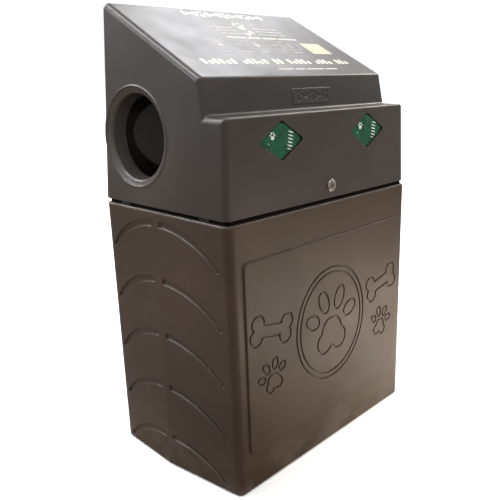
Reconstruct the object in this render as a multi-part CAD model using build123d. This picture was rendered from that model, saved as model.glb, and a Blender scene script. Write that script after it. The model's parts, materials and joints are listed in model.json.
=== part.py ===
from build123d import *
import math
import os

# Dog waste bin: a moulded bin, a hinged moulded hood with a waste chute on each side
# and two bag windows in front, and a cam lock that holds the hood down.
# Frame: +Z up, front faces -Y, origin on the ground under the middle of the bin.
# All sizes are in millimetres.

# ---- bin shell ----
WALL = 6.0                       # moulded wall
BIN_H = 610.0                    # height to the seam
BIN_HALF_W_LOW = 315.0           # half width at the corners, ground level
BIN_HALF_W_TOP = 319.0
BIN_FRONT_LOW = -208.0
BIN_FRONT_TOP = -203.0
BIN_BACK_LOW = 207.0
BIN_BACK_TOP = 203.0
BIN_REACH = 250.0                # beyond the front and back walls
BIN_CORNER_R = 18.0
BIN_FLOOR = 8.0
CREASE_HALF_W_LOW = 331.0        # the side walls swell towards the ground
CREASE_HALF_W_TOP = 316.5
CREASE_Y_LOW = 14.0
CREASE_Y_TOP = 27.0
CREASE_FLAT = 4.0                # half width of the flat strip along the crease
COLLAR_H = 24.0                  # upstand that the hood drops over
COLLAR_INSET = 14.0
SHOULDER_H = 14.0
STEP_INSET = 8.0                 # low step inside the rim, which closes most of the seam
STEP_H = 6.5
RIM_R = 4.0
RIM_STEPS = 3
JOIN_STEP = 0.25                 # the rim and the foot start this far in from the wall
FOOT_BEVEL = 5.0

# ---- side grooves, five pairs on each side ----
GROOVE_COUNT = 5
GROOVE_TOP_Z = 576.0
GROOVE_PITCH = 126.5
GROOVE_DROP = 64.0
GROOVE_GAP = 13.0                # from the crease to the start of a groove
GROOVE_FRONT_Y = -168.0
GROOVE_BACK_Y = 177.0
GROOVE_START_W = 14.0
GROOVE_END_W = 9.0
GROOVE_BOW = 15.0
GROOVE_DEPTH = 3.6
GROOVE_LOWEST = 13.0

# ---- raised front panel and its relief ----
PANEL_HALF_W = 283.0
PANEL_LOW = 92.0
PANEL_TOP = 528.0
PANEL_R = 14.0
PANEL_RISE = 4.0
PANEL_EDGE_R = 2.0
RELIEF_CENTRE_Z = 318.0
RELIEF_LINE = 5.0                # width of a relief line
RELIEF_DEPTH = 2.8
OVAL_HALF_W = 128.0
OVAL_HALF_H = 140.0
OVAL_STEP = 13.0                 # between the two lines of the oval
BIG_PAW = 122.0
SIDE_MARK_X = 208.0
BONE_UP = 48.0                   # above the middle of the relief
BONE_L = 146.0
BONE_W = 54.0
SMALL_PAW_DOWN = 70.0
SMALL_PAW = 58.0
MARK_TILT = 12.0
BONE_BAR = 0.50                  # these three are shares of the bone's width
BONE_KNOB_OUT = 0.28
BONE_KNOB_R = 0.34
PAW_PAD_R = 0.30                 # the paw's measures are shares of its size
PAW_PAD_DOWN = 0.06
PAW_LOBE_R = 0.22
PAW_LOBE_DOWN = 0.25
PAW_TOE_REACH = 0.64
PAW_TOE_HALF_W = 0.14
PAW_TOES = ((64.0, 0.20), (22.0, 0.24), (-22.0, 0.24), (-64.0, 0.20))    # turn, half length

# ---- hood shell ----
SEAM_GAP = 9.0
HOOD_Z = BIN_H + SEAM_GAP        # bottom edge of the hood
HOOD_HALF_W = 317.0
HOOD_SIDE_SLOPE = 0.0488         # each side leans in by this much per mm of height
HOOD_FRONT_Y = -197.5
HOOD_BACK_Y = 203.0
LEDGE_Z = 814.0
LEDGE_Y = -194.0
RISER_FOOT_Y = -138.0
RISER_TOP_Y = -125.0
RISER_TOP_Z = 886.0
TOP_BACK_Y = 182.0
TOP_BACK_Z = 1040.0
HOOD_CORNER_R = 13.0
LEDGE_EDGE_R = 5.0
RISER_FOOT_R = 6.0
RISER_EDGE_R = 7.0
HOOD_INNER_R = 8.0
NAMEPLATE_X = 20.0
NAMEPLATE_W = 136.0
NAMEPLATE_H = 34.0
NAMEPLATE_R = 4.0
NAMEPLATE_PITCH = 24.3           # between the marks pressed into it
NAMEPLATE_RISE = 0.8
NAMEPLATE_DROP = 8.0
PLATE_PAW = 15.64                # the small paw's measures are shares of this
PLATE_PAD_R = 0.42
PLATE_PAD_DOWN = 0.30
PLATE_TOE_R = 0.17
PLATE_TOE_REACH = 0.60
PLATE_TOE_TURNS = (66.0, 22.0, -22.0, -66.0)
PLATE_BONE = 21.76               # the small bone's measures are shares of this
PLATE_BAR = 0.22
PLATE_KNOB_OUT = 0.15
PLATE_KNOB_R = 0.19

# ---- side chutes ----
CHUTE_Y = 82.0
CHUTE_Z = 762.0
CHUTE_LIP_R = 104.0
CHUTE_R = 89.5
CHUTE_LENGTH = 40.0
CHUTE_WALL = 5.0
CHUTE_ROUND_R = 9.0              # from the lip into the throat
CHUTE_LIP_DEPTH = 2.5
CHUTE_BEAD_R = 2.2               # half-sunk bead round the lip
CHUTE_TAPER = 2.0

# ---- bag windows ----
WINDOW_X = 151.0
WINDOW_Z = 760.0
WINDOW_HALF_W = 70.0
WINDOW_HALF_H = 42.0
WINDOW_CORNER_R = 6.0

# ---- hinge ----
LEAF_T = 1.6
LEAF_H = 34.0
KNUCKLE_R = 4.0
PIN_R = 2.0
PIN_CLEARANCE = 0.06
HINGE_Y = BIN_BACK_TOP + 0.4 + KNUCKLE_R
HINGE_Z = BIN_H + SEAM_GAP / 2
HINGE_LENGTH = 560.0
KNUCKLE_COUNT = 14
KNUCKLE_GAP = 0.6
LEAF_STANDOFF = 0.7              # hood leaf to the back wall, at its rivets
STRIP_HALF_H = 6.0
STRIP_SHORTER = 10.0             # each end of a backing strip stops short of the leaf
RIVET_R = 2.4
RIVET_HEAD_R = 4.8
RIVET_HEAD_H = 1.7
RIVET_TAIL_R = 3.84
RIVET_COUNT = 8
RIVET_END = 30.0                 # from the end of a leaf to its first rivet
BIN_RIVET_Z = 588.0
HOOD_RIVET_Z = 641.0
FIT = 0.05                       # clearance between pieces fastened together

# ---- lock ----
LOCK_X = 10.0
LOCK_Z = 647.0
LOCK_FLANGE_R = 14.0
LOCK_BARREL_R = 9.5
LOCK_PLUG_R = 6.5
LOCK_LENGTH = 25.0
LOCK_FLANGE_T = 3.0
LOCK_FLANGE_BEVEL = 0.9
LOCK_LIP = 0.35                  # between the flange and the leaning wall
PLUG_SET_BACK = 0.4
KEYWAY_HALF_W = 0.9
KEYWAY_HALF_H = 4.4
KEYWAY_DEPTH = 9.0
LOCK_NUT_FLATS = 24.0
LOCK_NUT_T = 5.0
LOCK_WASHER_T = 1.2
CAM_LENGTH = 38.0
CAM_HALF_W = 8.0
CAM_END_R = 7.2
CAM_T = 2.5
CAM_CLEARANCE = 0.3
CAM_TAIL = 4.0                   # how far the cam starts above its square hole, less its end round
CAM_DRIVE = 8.0                  # square end of the plug
CAM_SCREW_R = 2.4
CAM_SCREW_DEPTH = 5.0
CAM_SCREW_HEAD_R = 6.0
CAM_SCREW_HEAD_H = 3.0
COVER_R = 8.3
COVER_T = 1.0
COVER_GAP = 0.2
COVER_PIVOT_UP = 10.0
COVER_LUG_R = 3.2
COVER_RIVET_R = 1.3
COVER_RIVET_HEAD_R = 2.405
COVER_TAB_REACH = 17.0
COVER_TAB_W = 5.0
COVER_TAB_R = 2.2
COVER_TAB_ANGLE = 25.0
COVER_RIDGE_T = 0.8              # upright ridge on the cover's face
COVER_RIDGE_HALF_W = 0.9
COVER_RIDGE_DOWN = 5.0
COVER_RIDGE_UP = 2.0
KEEPER_OFFSET = 22.0
KEEPER_W = 36.0
KEEPER_T = 2.0
KEEPER_REACH = 18.0
KEEPER_GAP = 1.5
KEEPER_SCREW_R = 2.0
KEEPER_SCREW_SPREAD = 10.0
KEEPER_SCREW_DEPTH = 4.5         # into the collar

# ---- bag dispenser ----
PACK_HALF_W = 76.0
PACK_Z_LOW = 664.0
PACK_Z_TOP = 802.0
STUD_SPREAD = 58.0
STUD_Z = 793.0
STUD_R = 2.9
STUD_HOLE_R = 3.3
STUD_DEPTH = 1.2                 # floor of an insert to the end of its stud
STUD_END = 11.0                  # stud beyond the tray
STACK_GAP = 0.1                  # between pieces stacked along the studs
SPACER_R = 5.1
INSERT_R = 4.6
INSERT_Y = -193.5
PACK_Y = -186.5
PACK_T = 13.5
PACK_R = 5.0
PACK_SWELL = 5.0
SWELL_SHARE = 0.94               # of the window's size
CARD_T = 1.5
CLAMP_T = 3.0
CLAMP_HALF_H = 8.0
CLAMP_SHORTER = 4.0
CARD_DROP = 18.0                 # from the studs to the lower edge of the card
WING_HUB_R = 6.0
WING_HUB_T = 6.5
WING_L = 12.0
WING_H = 7.0
WING_R = 2.8
WING_T = 2.4
WING_OUT = 9.0
WING_UP = 3.0
WING_TILT = 25.0
GUARD_HALF_W = 262.0
GUARD_T = 1.5
TRAY_Y = -158.9
TRAY_Z = 662.5
TRAY_TOP_Z = 806.0

# ---- liner ----
HOOP_R = 3.0
HOOP_Z = 594.0
HOOP_INSET = 28.0
HOOP_CORNER_R = 24.0
CLIP_W = 20.0
CLIP_T = 1.5
CLIP_SPREAD = 95.0
CLIP_DROP = 8.0                  # down the outside of the collar
CLIP_SHELF = 11.4
LINER_T = 3.0
LINER_GAP = 3.0                  # bag to hoop, and bag to floor
LINER_TAPER = 7.0
LINER_LOW_R = 30.0               # corner radius at the floor
LINER_TOP_R = 20.0
BUMPER_W = 3.0
BUMPER_L = 30.0
BUMPER_R = 1.0
BUMPER_GAP = 0.1                 # to the closed hood, and to the step in the rim
BUMPER_SPREAD = 130.0
ANCHOR_X = 200.0
ANCHOR_Y = 120.0
ANCHOR_R = 6.5
DRAIN_R = 5.0


def blend(low, high, t):
    """Value a fraction t of the way from low to high."""
    return low + (high - low) * t


def bin_front_y(z):
    return blend(BIN_FRONT_LOW, BIN_FRONT_TOP, z / BIN_H)


def bin_back_y(z):
    return blend(BIN_BACK_LOW, BIN_BACK_TOP, z / BIN_H)


def crease_y(z):
    return blend(CREASE_Y_LOW, CREASE_Y_TOP, z / BIN_H)


def hood_half_w(z):
    return HOOD_HALF_W - HOOD_SIDE_SLOPE * (z - HOOD_Z)


def hood_front_y(z):
    return blend(HOOD_FRONT_Y, LEDGE_Y, (z - HOOD_Z) / (LEDGE_Z - HOOD_Z))


def hood_back_y(z):
    return blend(HOOD_BACK_Y, TOP_BACK_Y, (z - HOOD_Z) / (TOP_BACK_Z - HOOD_Z))


def solid_of(shape):
    """The one solid in a boolean result."""
    return shape.solids().sort_by(SortBy.VOLUME)[-1]


def rod(x, y, z, radius, length, axis="Y"):
    """Cylinder that starts at a point and runs along +X, +Y or +Z."""
    direction, across = {
        "X": ((1, 0, 0), (0, 1, 0)),
        "Y": ((0, 1, 0), (1, 0, 0)),
        "Z": ((0, 0, 1), (1, 0, 0)),
    }[axis]
    plane = Plane(origin=(x, y, z), x_dir=across, z_dir=direction)
    return extrude(plane * Circle(radius), length)


def block(x0, x1, y0, y1, z0, z1):
    centre = ((x0 + x1) / 2, (y0 + y1) / 2, (z0 + z1) / 2)
    return Pos(*centre) * Box(x1 - x0, y1 - y0, z1 - z0)


# =====================================================================
# bin
# =====================================================================
def side_outline(z, inset):
    """Plan of the two side walls at one height, run on past the front and back."""
    t = z / BIN_H
    half_w = blend(BIN_HALF_W_LOW, BIN_HALF_W_TOP, t) - inset
    crease_w = blend(CREASE_HALF_W_LOW, CREASE_HALF_W_TOP, t) - inset
    middle = crease_y(z)
    front_run = (middle - CREASE_FLAT + BIN_REACH) / (middle - CREASE_FLAT - bin_front_y(z))
    back_run = (BIN_REACH - middle - CREASE_FLAT) / (bin_back_y(z) - middle - CREASE_FLAT)
    right = [
        (crease_w - (crease_w - half_w) * front_run, -BIN_REACH),
        (crease_w, middle - CREASE_FLAT),
        (crease_w, middle + CREASE_FLAT),
        (crease_w - (crease_w - half_w) * back_run, BIN_REACH),
    ]
    left = [(-x, y) for x, y in reversed(right)]
    return Pos(0, 0, z) * make_face(Polyline(*(right + left), close=True))


def bin_corner_r(inset):
    return max(BIN_CORNER_R - inset, HOOD_INNER_R)


def bin_block(z_low, z_high, inset):
    """Tall length of the bin, drawn in by an inset. Its front and back walls are flat."""
    sides = loft([side_outline(z_low, inset), side_outline(z_high, inset)], ruled=True)
    depth = make_face(Polyline(
        (bin_front_y(z_low) + inset, z_low),
        (bin_back_y(z_low) - inset, z_low),
        (bin_back_y(z_high) - inset, z_high),
        (bin_front_y(z_high) + inset, z_high),
        close=True,
    ))
    body = extrude(Plane.YZ * depth, BIN_REACH * 2, both=True) & sides
    corners = [
        e for e in body.edges()
        if abs(e.center().Y) > BIN_BACK_TOP / 2 and abs((e @ 1).Z - (e @ 0).Z) > (z_high - z_low) / 2
    ]
    return fillet(corners, bin_corner_r(inset))


def bin_outline(z, inset):
    """Closed plan of the bin at one height, with round corners."""
    front = bin_front_y(z) + inset
    back = bin_back_y(z) - inset
    depth = Pos(0, (front + back) / 2, z) * Rectangle(BIN_REACH * 3, back - front)
    outline = (side_outline(z, inset) & depth).faces()[0]
    corners = outline.vertices().filter_by(lambda v: abs(v.Y) > BIN_BACK_TOP / 2)
    return fillet(corners, bin_corner_r(inset))


def bin_slice(z_low, z_high, inset_low, inset_high):
    """Short length of the bin whose inset changes with height."""
    return loft([bin_outline(z_low, inset_low), bin_outline(z_high, inset_high)], ruled=True)


def groove_outline(z_start, y_start, y_end):
    """Crescent that falls away from the crease, with a rounded far end."""
    side = math.copysign(1, y_end - y_start)
    middle = (y_start + y_end) / 2
    end_z = max(z_start - GROOVE_DROP, GROOVE_LOWEST)
    low_mid = (z_start + end_z) / 2 + GROOVE_BOW
    upper = ThreePointArc(
        (y_start, z_start + GROOVE_START_W),
        (middle, low_mid + GROOVE_START_W + 3),
        (y_end + side * GROOVE_END_W / 2, end_z + GROOVE_END_W / 2),
    )
    tip = ThreePointArc(
        upper @ 1,
        (y_end + side * GROOVE_END_W / 4, end_z - GROOVE_END_W / 4),
        (y_end - side * GROOVE_END_W / 2, end_z),
    )
    lower = ThreePointArc(tip @ 1, (middle, low_mid), (y_start, z_start))
    start = Line((y_start, z_start), (y_start, z_start + GROOVE_START_W))
    return make_face([upper, tip, lower, start])


def groove_tool(z_start, y_start, y_end, core):
    """Cutter for one groove on the right-hand side: its floor follows the wall."""
    outline = Plane.YZ * groove_outline(z_start, y_start, y_end)
    prism = extrude(outline, CREASE_HALF_W_LOW + WALL)
    tool = solid_of(prism - core)
    floor = tool.faces().sort_by(Axis.X)[0]
    return fillet(floor.edges(), GROOVE_DEPTH * 0.75)


def side_grooves():
    """All cutters for both sides."""
    core = bin_block(0, BIN_H, GROOVE_DEPTH)
    tools = []
    for row in range(GROOVE_COUNT):
        z = GROOVE_TOP_Z - row * GROOVE_PITCH
        middle = crease_y(z)
        for y_start, y_end in (
            (middle - GROOVE_GAP, GROOVE_FRONT_Y),
            (middle + GROOVE_GAP, GROOVE_BACK_Y),
        ):
            tool = groove_tool(z, y_start, y_end, core)
            tools.append(tool)
            tools.append(mirror(tool, about=Plane.YZ))
    return tools


def front_plane():
    """Sketch plane on the leaning front face, x to the right and y up the face."""
    up = Vector(0, BIN_FRONT_TOP - BIN_FRONT_LOW, BIN_H).normalized()
    out = Vector(1, 0, 0).cross(up)
    return Plane(origin=(0, BIN_FRONT_LOW, 0), x_dir=(1, 0, 0), z_dir=out)


def front_panel():
    """Raised panel with rounded corners and a soft front edge."""
    height = PANEL_TOP - PANEL_LOW
    outline = RectangleRounded(2 * PANEL_HALF_W, height, PANEL_R)
    base = front_plane().offset(-WALL / 2) * Pos(0, (PANEL_TOP + PANEL_LOW) / 2)
    panel = extrude(base * outline, PANEL_RISE + WALL / 2)
    front_edges = panel.faces().sort_by(Axis.Y)[0].edges()
    return fillet(front_edges, PANEL_EDGE_R)


def oval_line(half_x, half_y):
    """Relief line round an oval."""
    half = RELIEF_LINE / 2
    return Ellipse(half_x + half, half_y + half) - Ellipse(half_x - half, half_y - half)


def outline_line(face):
    """Relief line that follows the edge of a face made of straights and arcs."""
    half = RELIEF_LINE / 2
    return offset(face, half) - offset(face, -half)


def paw_lines(size):
    """Generic paw print, pad and four toes. Size is about the pad's width."""
    lobe_r = PAW_LOBE_R * size
    pad = Pos(0, -PAW_PAD_DOWN * size) * Circle(PAW_PAD_R * size)
    for side in (-1, 1):
        pad += Pos(side * lobe_r, -PAW_LOBE_DOWN * size) * Circle(lobe_r)
    lines = [outline_line(pad)]
    for angle, tall in PAW_TOES:
        place = Rot(0, 0, angle) * Pos(0, PAW_TOE_REACH * size)
        lines.append(place * oval_line(PAW_TOE_HALF_W * size, tall * size))
    return lines


def bone_line(length, width):
    """Generic bone: a bar with two knobs at each end."""
    shape = Rectangle(length - width, width * BONE_BAR)
    for sx in (-1, 1):
        for sy in (-1, 1):
            knob = Pos(sx * (length - width) / 2, sy * width * BONE_KNOB_OUT)
            shape += knob * Circle(width * BONE_KNOB_R)
    return outline_line(shape)


def relief_lines():
    """Oval ring with a large paw, and a bone and a small paw on each side of it."""
    lines = [
        oval_line(OVAL_HALF_W, OVAL_HALF_H),
        oval_line(OVAL_HALF_W - OVAL_STEP, OVAL_HALF_H - OVAL_STEP),
    ]
    lines += [Pos(0, -BIG_PAW / 8) * line for line in paw_lines(BIG_PAW)]
    for side in (-1, 1):
        x = side * SIDE_MARK_X
        lines.append(Pos(x, BONE_UP) * Rot(0, 0, side * MARK_TILT) * bone_line(BONE_L, BONE_W))
        small = Pos(x, -SMALL_PAW_DOWN) * Rot(0, 0, -side * MARK_TILT)
        lines += [small * line for line in paw_lines(SMALL_PAW)]
    return lines


def relief_tools():
    centre = front_plane().offset(PANEL_RISE - RELIEF_DEPTH) * Pos(0, RELIEF_CENTRE_Z)
    return [extrude(centre * line, RELIEF_DEPTH * 2) for line in relief_lines()]


def collar_section(inset):
    half_w = BIN_HALF_W_TOP - inset
    depth = BIN_BACK_TOP - inset
    return RectangleRounded(2 * half_w, 2 * depth, HOOD_INNER_R)


def collar_ring():
    """Upstand inside the rim, with a low step and the shoulder that joins them to the wall."""
    base = BIN_H - SHOULDER_H
    inset = (RIM_R + WALL) / 2
    shoulder = bin_slice(base, BIN_H, inset, inset)
    upstand = extrude(Pos(0, 0, base) * collar_section(COLLAR_INSET), SHOULDER_H + COLLAR_H)
    step = extrude(Pos(0, 0, base) * collar_section(STEP_INSET), SHOULDER_H + STEP_H)
    hole = extrude(Pos(0, 0, BIN_H / 2) * collar_section(COLLAR_INSET + WALL), BIN_H)
    return shoulder + upstand + step - hole


def bin_rim():
    """Top of the bin wall, rounded off in short steps along a quarter circle."""
    angles = [math.pi / 2 * step / RIM_STEPS for step in range(RIM_STEPS + 1)]
    curve = RIM_R - JOIN_STEP
    steps = [(RIM_R - curve * math.cos(a), BIN_H - RIM_R * (1 - math.sin(a))) for a in angles]
    return [
        bin_slice(z_low, z_high, inset_low, inset_high)
        for (inset_low, z_low), (inset_high, z_high) in zip(steps, steps[1:])
    ]


def bin_outside():
    """Outside of the bin, with a rounded rim, a bevelled foot and the raised front panel."""
    body = bin_block(FOOT_BEVEL, BIN_H - RIM_R, 0)
    foot = bin_slice(0, FOOT_BEVEL, FOOT_BEVEL, JOIN_STEP)
    return body + foot + bin_rim() + front_panel()


def floor_holes():
    """Four anchor holes near the corners and four drain holes."""
    holes = []
    for sx in (-1, 1):
        for sy in (-1, 1):
            holes.append(rod(sx * ANCHOR_X, sy * ANCHOR_Y, -1, ANCHOR_R, BIN_FLOOR + 2, "Z"))
            holes.append(rod(sx * ANCHOR_X / 2, sy * ANCHOR_Y / 2, -1, DRAIN_R, BIN_FLOOR + 2, "Z"))
    return holes


def bin_shell():
    body = bin_outside()
    body -= rivet_holes(BIN_BACK_TOP, BIN_RIVET_Z)
    body -= bin_block(BIN_FLOOR, BIN_H + COLLAR_H, WALL)
    body += collar_ring()
    body -= keeper_screw_holes()
    body -= floor_holes()
    body -= side_grooves()
    return body - relief_tools()


# =====================================================================
# hood
# =====================================================================
def hood_profile(z_low):
    """Side outline of the hood, front on the left, down to a given height."""
    return make_face(Polyline(
        (hood_front_y(z_low), z_low),
        (LEDGE_Y, LEDGE_Z),
        (RISER_FOOT_Y, LEDGE_Z),
        (RISER_TOP_Y, RISER_TOP_Z),
        (TOP_BACK_Y, TOP_BACK_Z),
        (hood_back_y(z_low), z_low),
        close=True,
    ))


def hood_block(z_low, inset):
    """Hood as a solid with sharp edges, drawn in by an inset."""
    profile = hood_profile(z_low)
    if inset:
        profile = offset(profile, -inset, kind=Kind.INTERSECTION)
    prism = extrude(Plane.YZ * profile, HOOD_HALF_W * 1.1, both=True)
    low = hood_half_w(z_low) - inset
    high = hood_half_w(TOP_BACK_Z) - inset
    corners = [(-low, z_low), (low, z_low), (high, TOP_BACK_Z), (-high, TOP_BACK_Z)]
    front = make_face(Polyline(*corners, close=True))
    return prism & extrude(Plane.XZ * front, HOOD_HALF_W, both=True)


def side_edges(shape, z_low):
    """Edges of the two side faces, except those along the bottom."""
    limit = HOOD_HALF_W * 0.8
    return [e for e in shape.edges() if abs(e.center().X) > limit and e.center().Z > z_low + WALL * 2]


def cross_edges(shape, y, z):
    """Edges that run across the hood through one point of its side outline."""
    near = WALL / 2
    return [
        e for e in shape.edges()
        if abs(e.center().X) < 1 and abs(e.center().Y - y) < near and abs(e.center().Z - z) < near
    ]


def hood_outer():
    body = hood_block(HOOD_Z, 0)
    body = fillet(side_edges(body, HOOD_Z) + cross_edges(body, TOP_BACK_Y, TOP_BACK_Z), HOOD_CORNER_R)
    for y, z, radius in (
        (RISER_FOOT_Y, LEDGE_Z, RISER_FOOT_R),
        (LEDGE_Y, LEDGE_Z, LEDGE_EDGE_R),
        (RISER_TOP_Y, RISER_TOP_Z, RISER_EDGE_R),
    ):
        body = fillet(cross_edges(body, y, z), radius)
    return body


def hood_cavity():
    z_low = HOOD_Z - 4 * WALL
    body = hood_block(z_low, WALL)
    return fillet(side_edges(body, z_low + WALL), HOOD_INNER_R)


def chute_plane():
    """Plane on the right-hand wall at the middle of its chute, facing out."""
    normal = Vector(1, 0, HOOD_SIDE_SLOPE).normalized()
    return Plane(origin=(hood_half_w(CHUTE_Z), CHUTE_Y, CHUTE_Z), x_dir=(0, 1, 0), z_dir=normal)


def turned(outline):
    """Solid of revolution about the local Z axis, from an outline in its XZ plane."""
    face = outline[0] if len(outline) == 1 and outline[0].faces() else make_face(outline)
    return revolve(Plane.XZ * face, Axis.Z)


def chute_tube():
    """Short sleeve behind the wall, with a wider ring that carries the lip."""
    outer = CHUTE_R + CHUTE_WALL
    ring = CHUTE_LIP_R + WALL
    line = Polyline(
        (0, -WALL / 2),
        (ring, -WALL / 2),
        (ring, -2 * WALL),
        (outer, -3.5 * WALL),
        (outer - CHUTE_TAPER, -CHUTE_LENGTH),
        (0, -CHUTE_LENGTH),
        close=True,
    )
    return turned([line])


def chute_bore():
    """Opening: a bevelled lip, a quarter round and a slightly tapered throat."""
    start = (CHUTE_R + CHUTE_ROUND_R, -CHUTE_LIP_DEPTH)
    end = (CHUTE_R, -CHUTE_LIP_DEPTH - CHUTE_ROUND_R)
    turn = math.sqrt(0.5) * CHUTE_ROUND_R
    quarter = ThreePointArc(start, (start[0] - turn, end[1] + turn), end)
    far = -CHUTE_LENGTH - WALL
    mouth = CHUTE_LIP_R + 2 * WALL
    rest = Polyline(end, (CHUTE_R - CHUTE_TAPER, far), (0, far), (0, WALL), (mouth, WALL), start)
    return turned([quarter, rest])


def chute_bead():
    return turned([Pos(CHUTE_LIP_R + CHUTE_BEAD_R / 2, 0) * Circle(CHUTE_BEAD_R)])


def diamond(scale=1.0):
    """Window outline with soft corners."""
    w = WINDOW_HALF_W * scale
    h = WINDOW_HALF_H * scale
    face = make_face(Polyline((w, 0), (0, h), (-w, 0), (0, -h), close=True))
    return fillet(face.vertices(), WINDOW_CORNER_R)


def wall_cut(face, x, z):
    """Cutter along Y through the front wall of the hood."""
    plane = Plane(origin=(x, HOOD_FRONT_Y - WALL, z), x_dir=(1, 0, 0), z_dir=(0, -1, 0))
    return extrude(plane * face, -4 * WALL)


def nameplate():
    """Low plate on the riser with a row of plain marks pressed into it."""
    lean = (RISER_TOP_Y - RISER_FOOT_Y) / (RISER_TOP_Z - LEDGE_Z)
    z = (RISER_TOP_Z + LEDGE_Z) / 2 - NAMEPLATE_DROP
    y = RISER_FOOT_Y + lean * (z - LEDGE_Z)
    normal = Vector(0, -1, lean).normalized()
    plane = Plane(origin=(NAMEPLATE_X, y, z), x_dir=(1, 0, 0), z_dir=normal)
    outline = RectangleRounded(NAMEPLATE_W, NAMEPLATE_H, NAMEPLATE_R)
    plate = extrude(plane.offset(-WALL / 2) * outline, WALL / 2 + NAMEPLATE_RISE)
    marks = []
    for place in (-2, -1, 0, 1, 2):
        mark = filled_bone() if place % 2 else filled_paw()
        spot = plane.offset(-NAMEPLATE_RISE) * Pos(place * NAMEPLATE_PITCH, 0)
        marks.append(extrude(spot * mark, 3 * NAMEPLATE_RISE))
    return plate - marks


def filled_paw():
    shape = Pos(0, -PLATE_PAD_DOWN * PLATE_PAW) * Circle(PLATE_PAD_R * PLATE_PAW)
    for angle in PLATE_TOE_TURNS:
        toe = Rot(0, 0, angle) * Pos(0, PLATE_TOE_REACH * PLATE_PAW)
        shape += toe * Circle(PLATE_TOE_R * PLATE_PAW)
    return shape


def filled_bone():
    shape = Rectangle(PLATE_BONE, PLATE_BONE * PLATE_BAR)
    for sx in (-1, 1):
        for sy in (-1, 1):
            knob = Pos(sx * PLATE_BONE / 2, sy * PLATE_BONE * PLATE_KNOB_OUT)
            shape += knob * Circle(PLATE_BONE * PLATE_KNOB_R)
    return shape


def stud_places():
    """X of each stud: two studs for each bag pack."""
    return [side * WINDOW_X + spread for side in (-1, 1) for spread in (-STUD_SPREAD, STUD_SPREAD)]


def hood_shell():
    body = hood_outer() + nameplate()
    body -= hood_cavity()
    tube, bore, bead = [chute_plane() * piece for piece in (chute_tube(), chute_bore(), chute_bead())]
    body += [tube, mirror(tube, about=Plane.YZ)]
    body -= [bore, mirror(bore, about=Plane.YZ)]
    body += [bead, mirror(bead, about=Plane.YZ)]
    body -= [wall_cut(diamond(), side * WINDOW_X, WINDOW_Z) for side in (-1, 1)]
    body -= rod(LOCK_X, HOOD_FRONT_Y - WALL, LOCK_Z, LOCK_BARREL_R + FIT, 4 * WALL)
    body -= [rod(x, INSERT_Y, STUD_Z, INSERT_R + FIT, WALL) for x in stud_places()]
    body -= rivet_holes(HOOD_BACK_Y, HOOD_RIVET_Z)
    return body


# =====================================================================
# hinge
# =====================================================================
def rivet_places():
    reach = HINGE_LENGTH / 2 - RIVET_END
    return [-reach + 2 * reach * i / (RIVET_COUNT - 1) for i in range(RIVET_COUNT)]


def rivet_holes(y_middle, z):
    """Row of holes along Y, one for each rivet of a leaf."""
    reach = 3 * WALL
    return [rod(x, y_middle - reach, z, RIVET_R + FIT, 2 * reach) for x in rivet_places()]


def hinge_leaf(first_knuckle):
    """Leaf that hangs down from the axis, with every second knuckle. Axis at the origin."""
    plate_top = -KNUCKLE_R - KNUCKLE_GAP
    half = HINGE_LENGTH / 2
    leaf = block(-half, half, -KNUCKLE_R, LEAF_T - KNUCKLE_R, -LEAF_H, plate_top)
    pitch = HINGE_LENGTH / KNUCKLE_COUNT
    for i in range(first_knuckle, KNUCKLE_COUNT, 2):
        x0 = -half + i * pitch + KNUCKLE_GAP / 2
        x1 = x0 + pitch - KNUCKLE_GAP
        leaf += block(x0, x1, -KNUCKLE_R, LEAF_T - KNUCKLE_R, plate_top, 0)
        leaf += rod(x0, 0, 0, KNUCKLE_R, x1 - x0, "X")
    return leaf - rod(-half, 0, 0, PIN_R + PIN_CLEARANCE, HINGE_LENGTH, "X")


def bin_hinge_leaf():
    leaf = Pos(0, HINGE_Y, HINGE_Z) * hinge_leaf(0)
    return leaf - rivet_holes(HINGE_Y, BIN_RIVET_Z)


def hood_hinge_leaf():
    """The same leaf turned upwards and tilted to lie on the hood's back wall."""
    lean = math.degrees(math.atan2(HOOD_BACK_Y - TOP_BACK_Y, TOP_BACK_Z - HOOD_Z))
    leaf = mirror(hinge_leaf(1), about=Plane.XY)
    leaf = Pos(0, HINGE_Y, HINGE_Z) * Rot(lean, 0, 0) * leaf
    return leaf - rivet_holes(HINGE_Y, HOOD_RIVET_Z)


def hinge_pin():
    length = HINGE_LENGTH + 4
    return rod(-length / 2, HINGE_Y, HINGE_Z, PIN_R, length, "X")


def domed_head(radius, height):
    """Low dome that stands on the local XY plane."""
    ball_r = (radius ** 2 + height ** 2) / (2 * height)
    ball = Pos(0, 0, height - ball_r) * Sphere(ball_r)
    return ball & Pos(0, 0, height / 2) * Cylinder(radius * 1.1, height)


def dome_at(x, y, z, radius, height, back=True):
    """Low dome that stands on a plane across Y and points to the back or the front."""
    plane = Plane(origin=(x, y, z), z_dir=(0, 1 if back else -1, 0))
    return plane * domed_head(radius, height)


def rivet(x, z, y_outer, y_inner):
    """Blind rivet along Y with a head outside and a formed tail inside."""
    head = dome_at(x, y_outer, z, RIVET_HEAD_R, RIVET_HEAD_H)
    tail = dome_at(x, y_inner, z, RIVET_TAIL_R, RIVET_HEAD_H, back=False)
    return rod(x, y_inner, z, RIVET_R, y_outer - y_inner) + head + tail


def backing_strip(y_inner, z):
    """Flat strip inside the wall that spreads the load of the rivets."""
    half = HINGE_LENGTH / 2 - STRIP_SHORTER
    strip = block(-half, half, y_inner - LEAF_T, y_inner, z - STRIP_HALF_H, z + STRIP_HALF_H)
    return strip - rivet_holes(y_inner, z)


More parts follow.
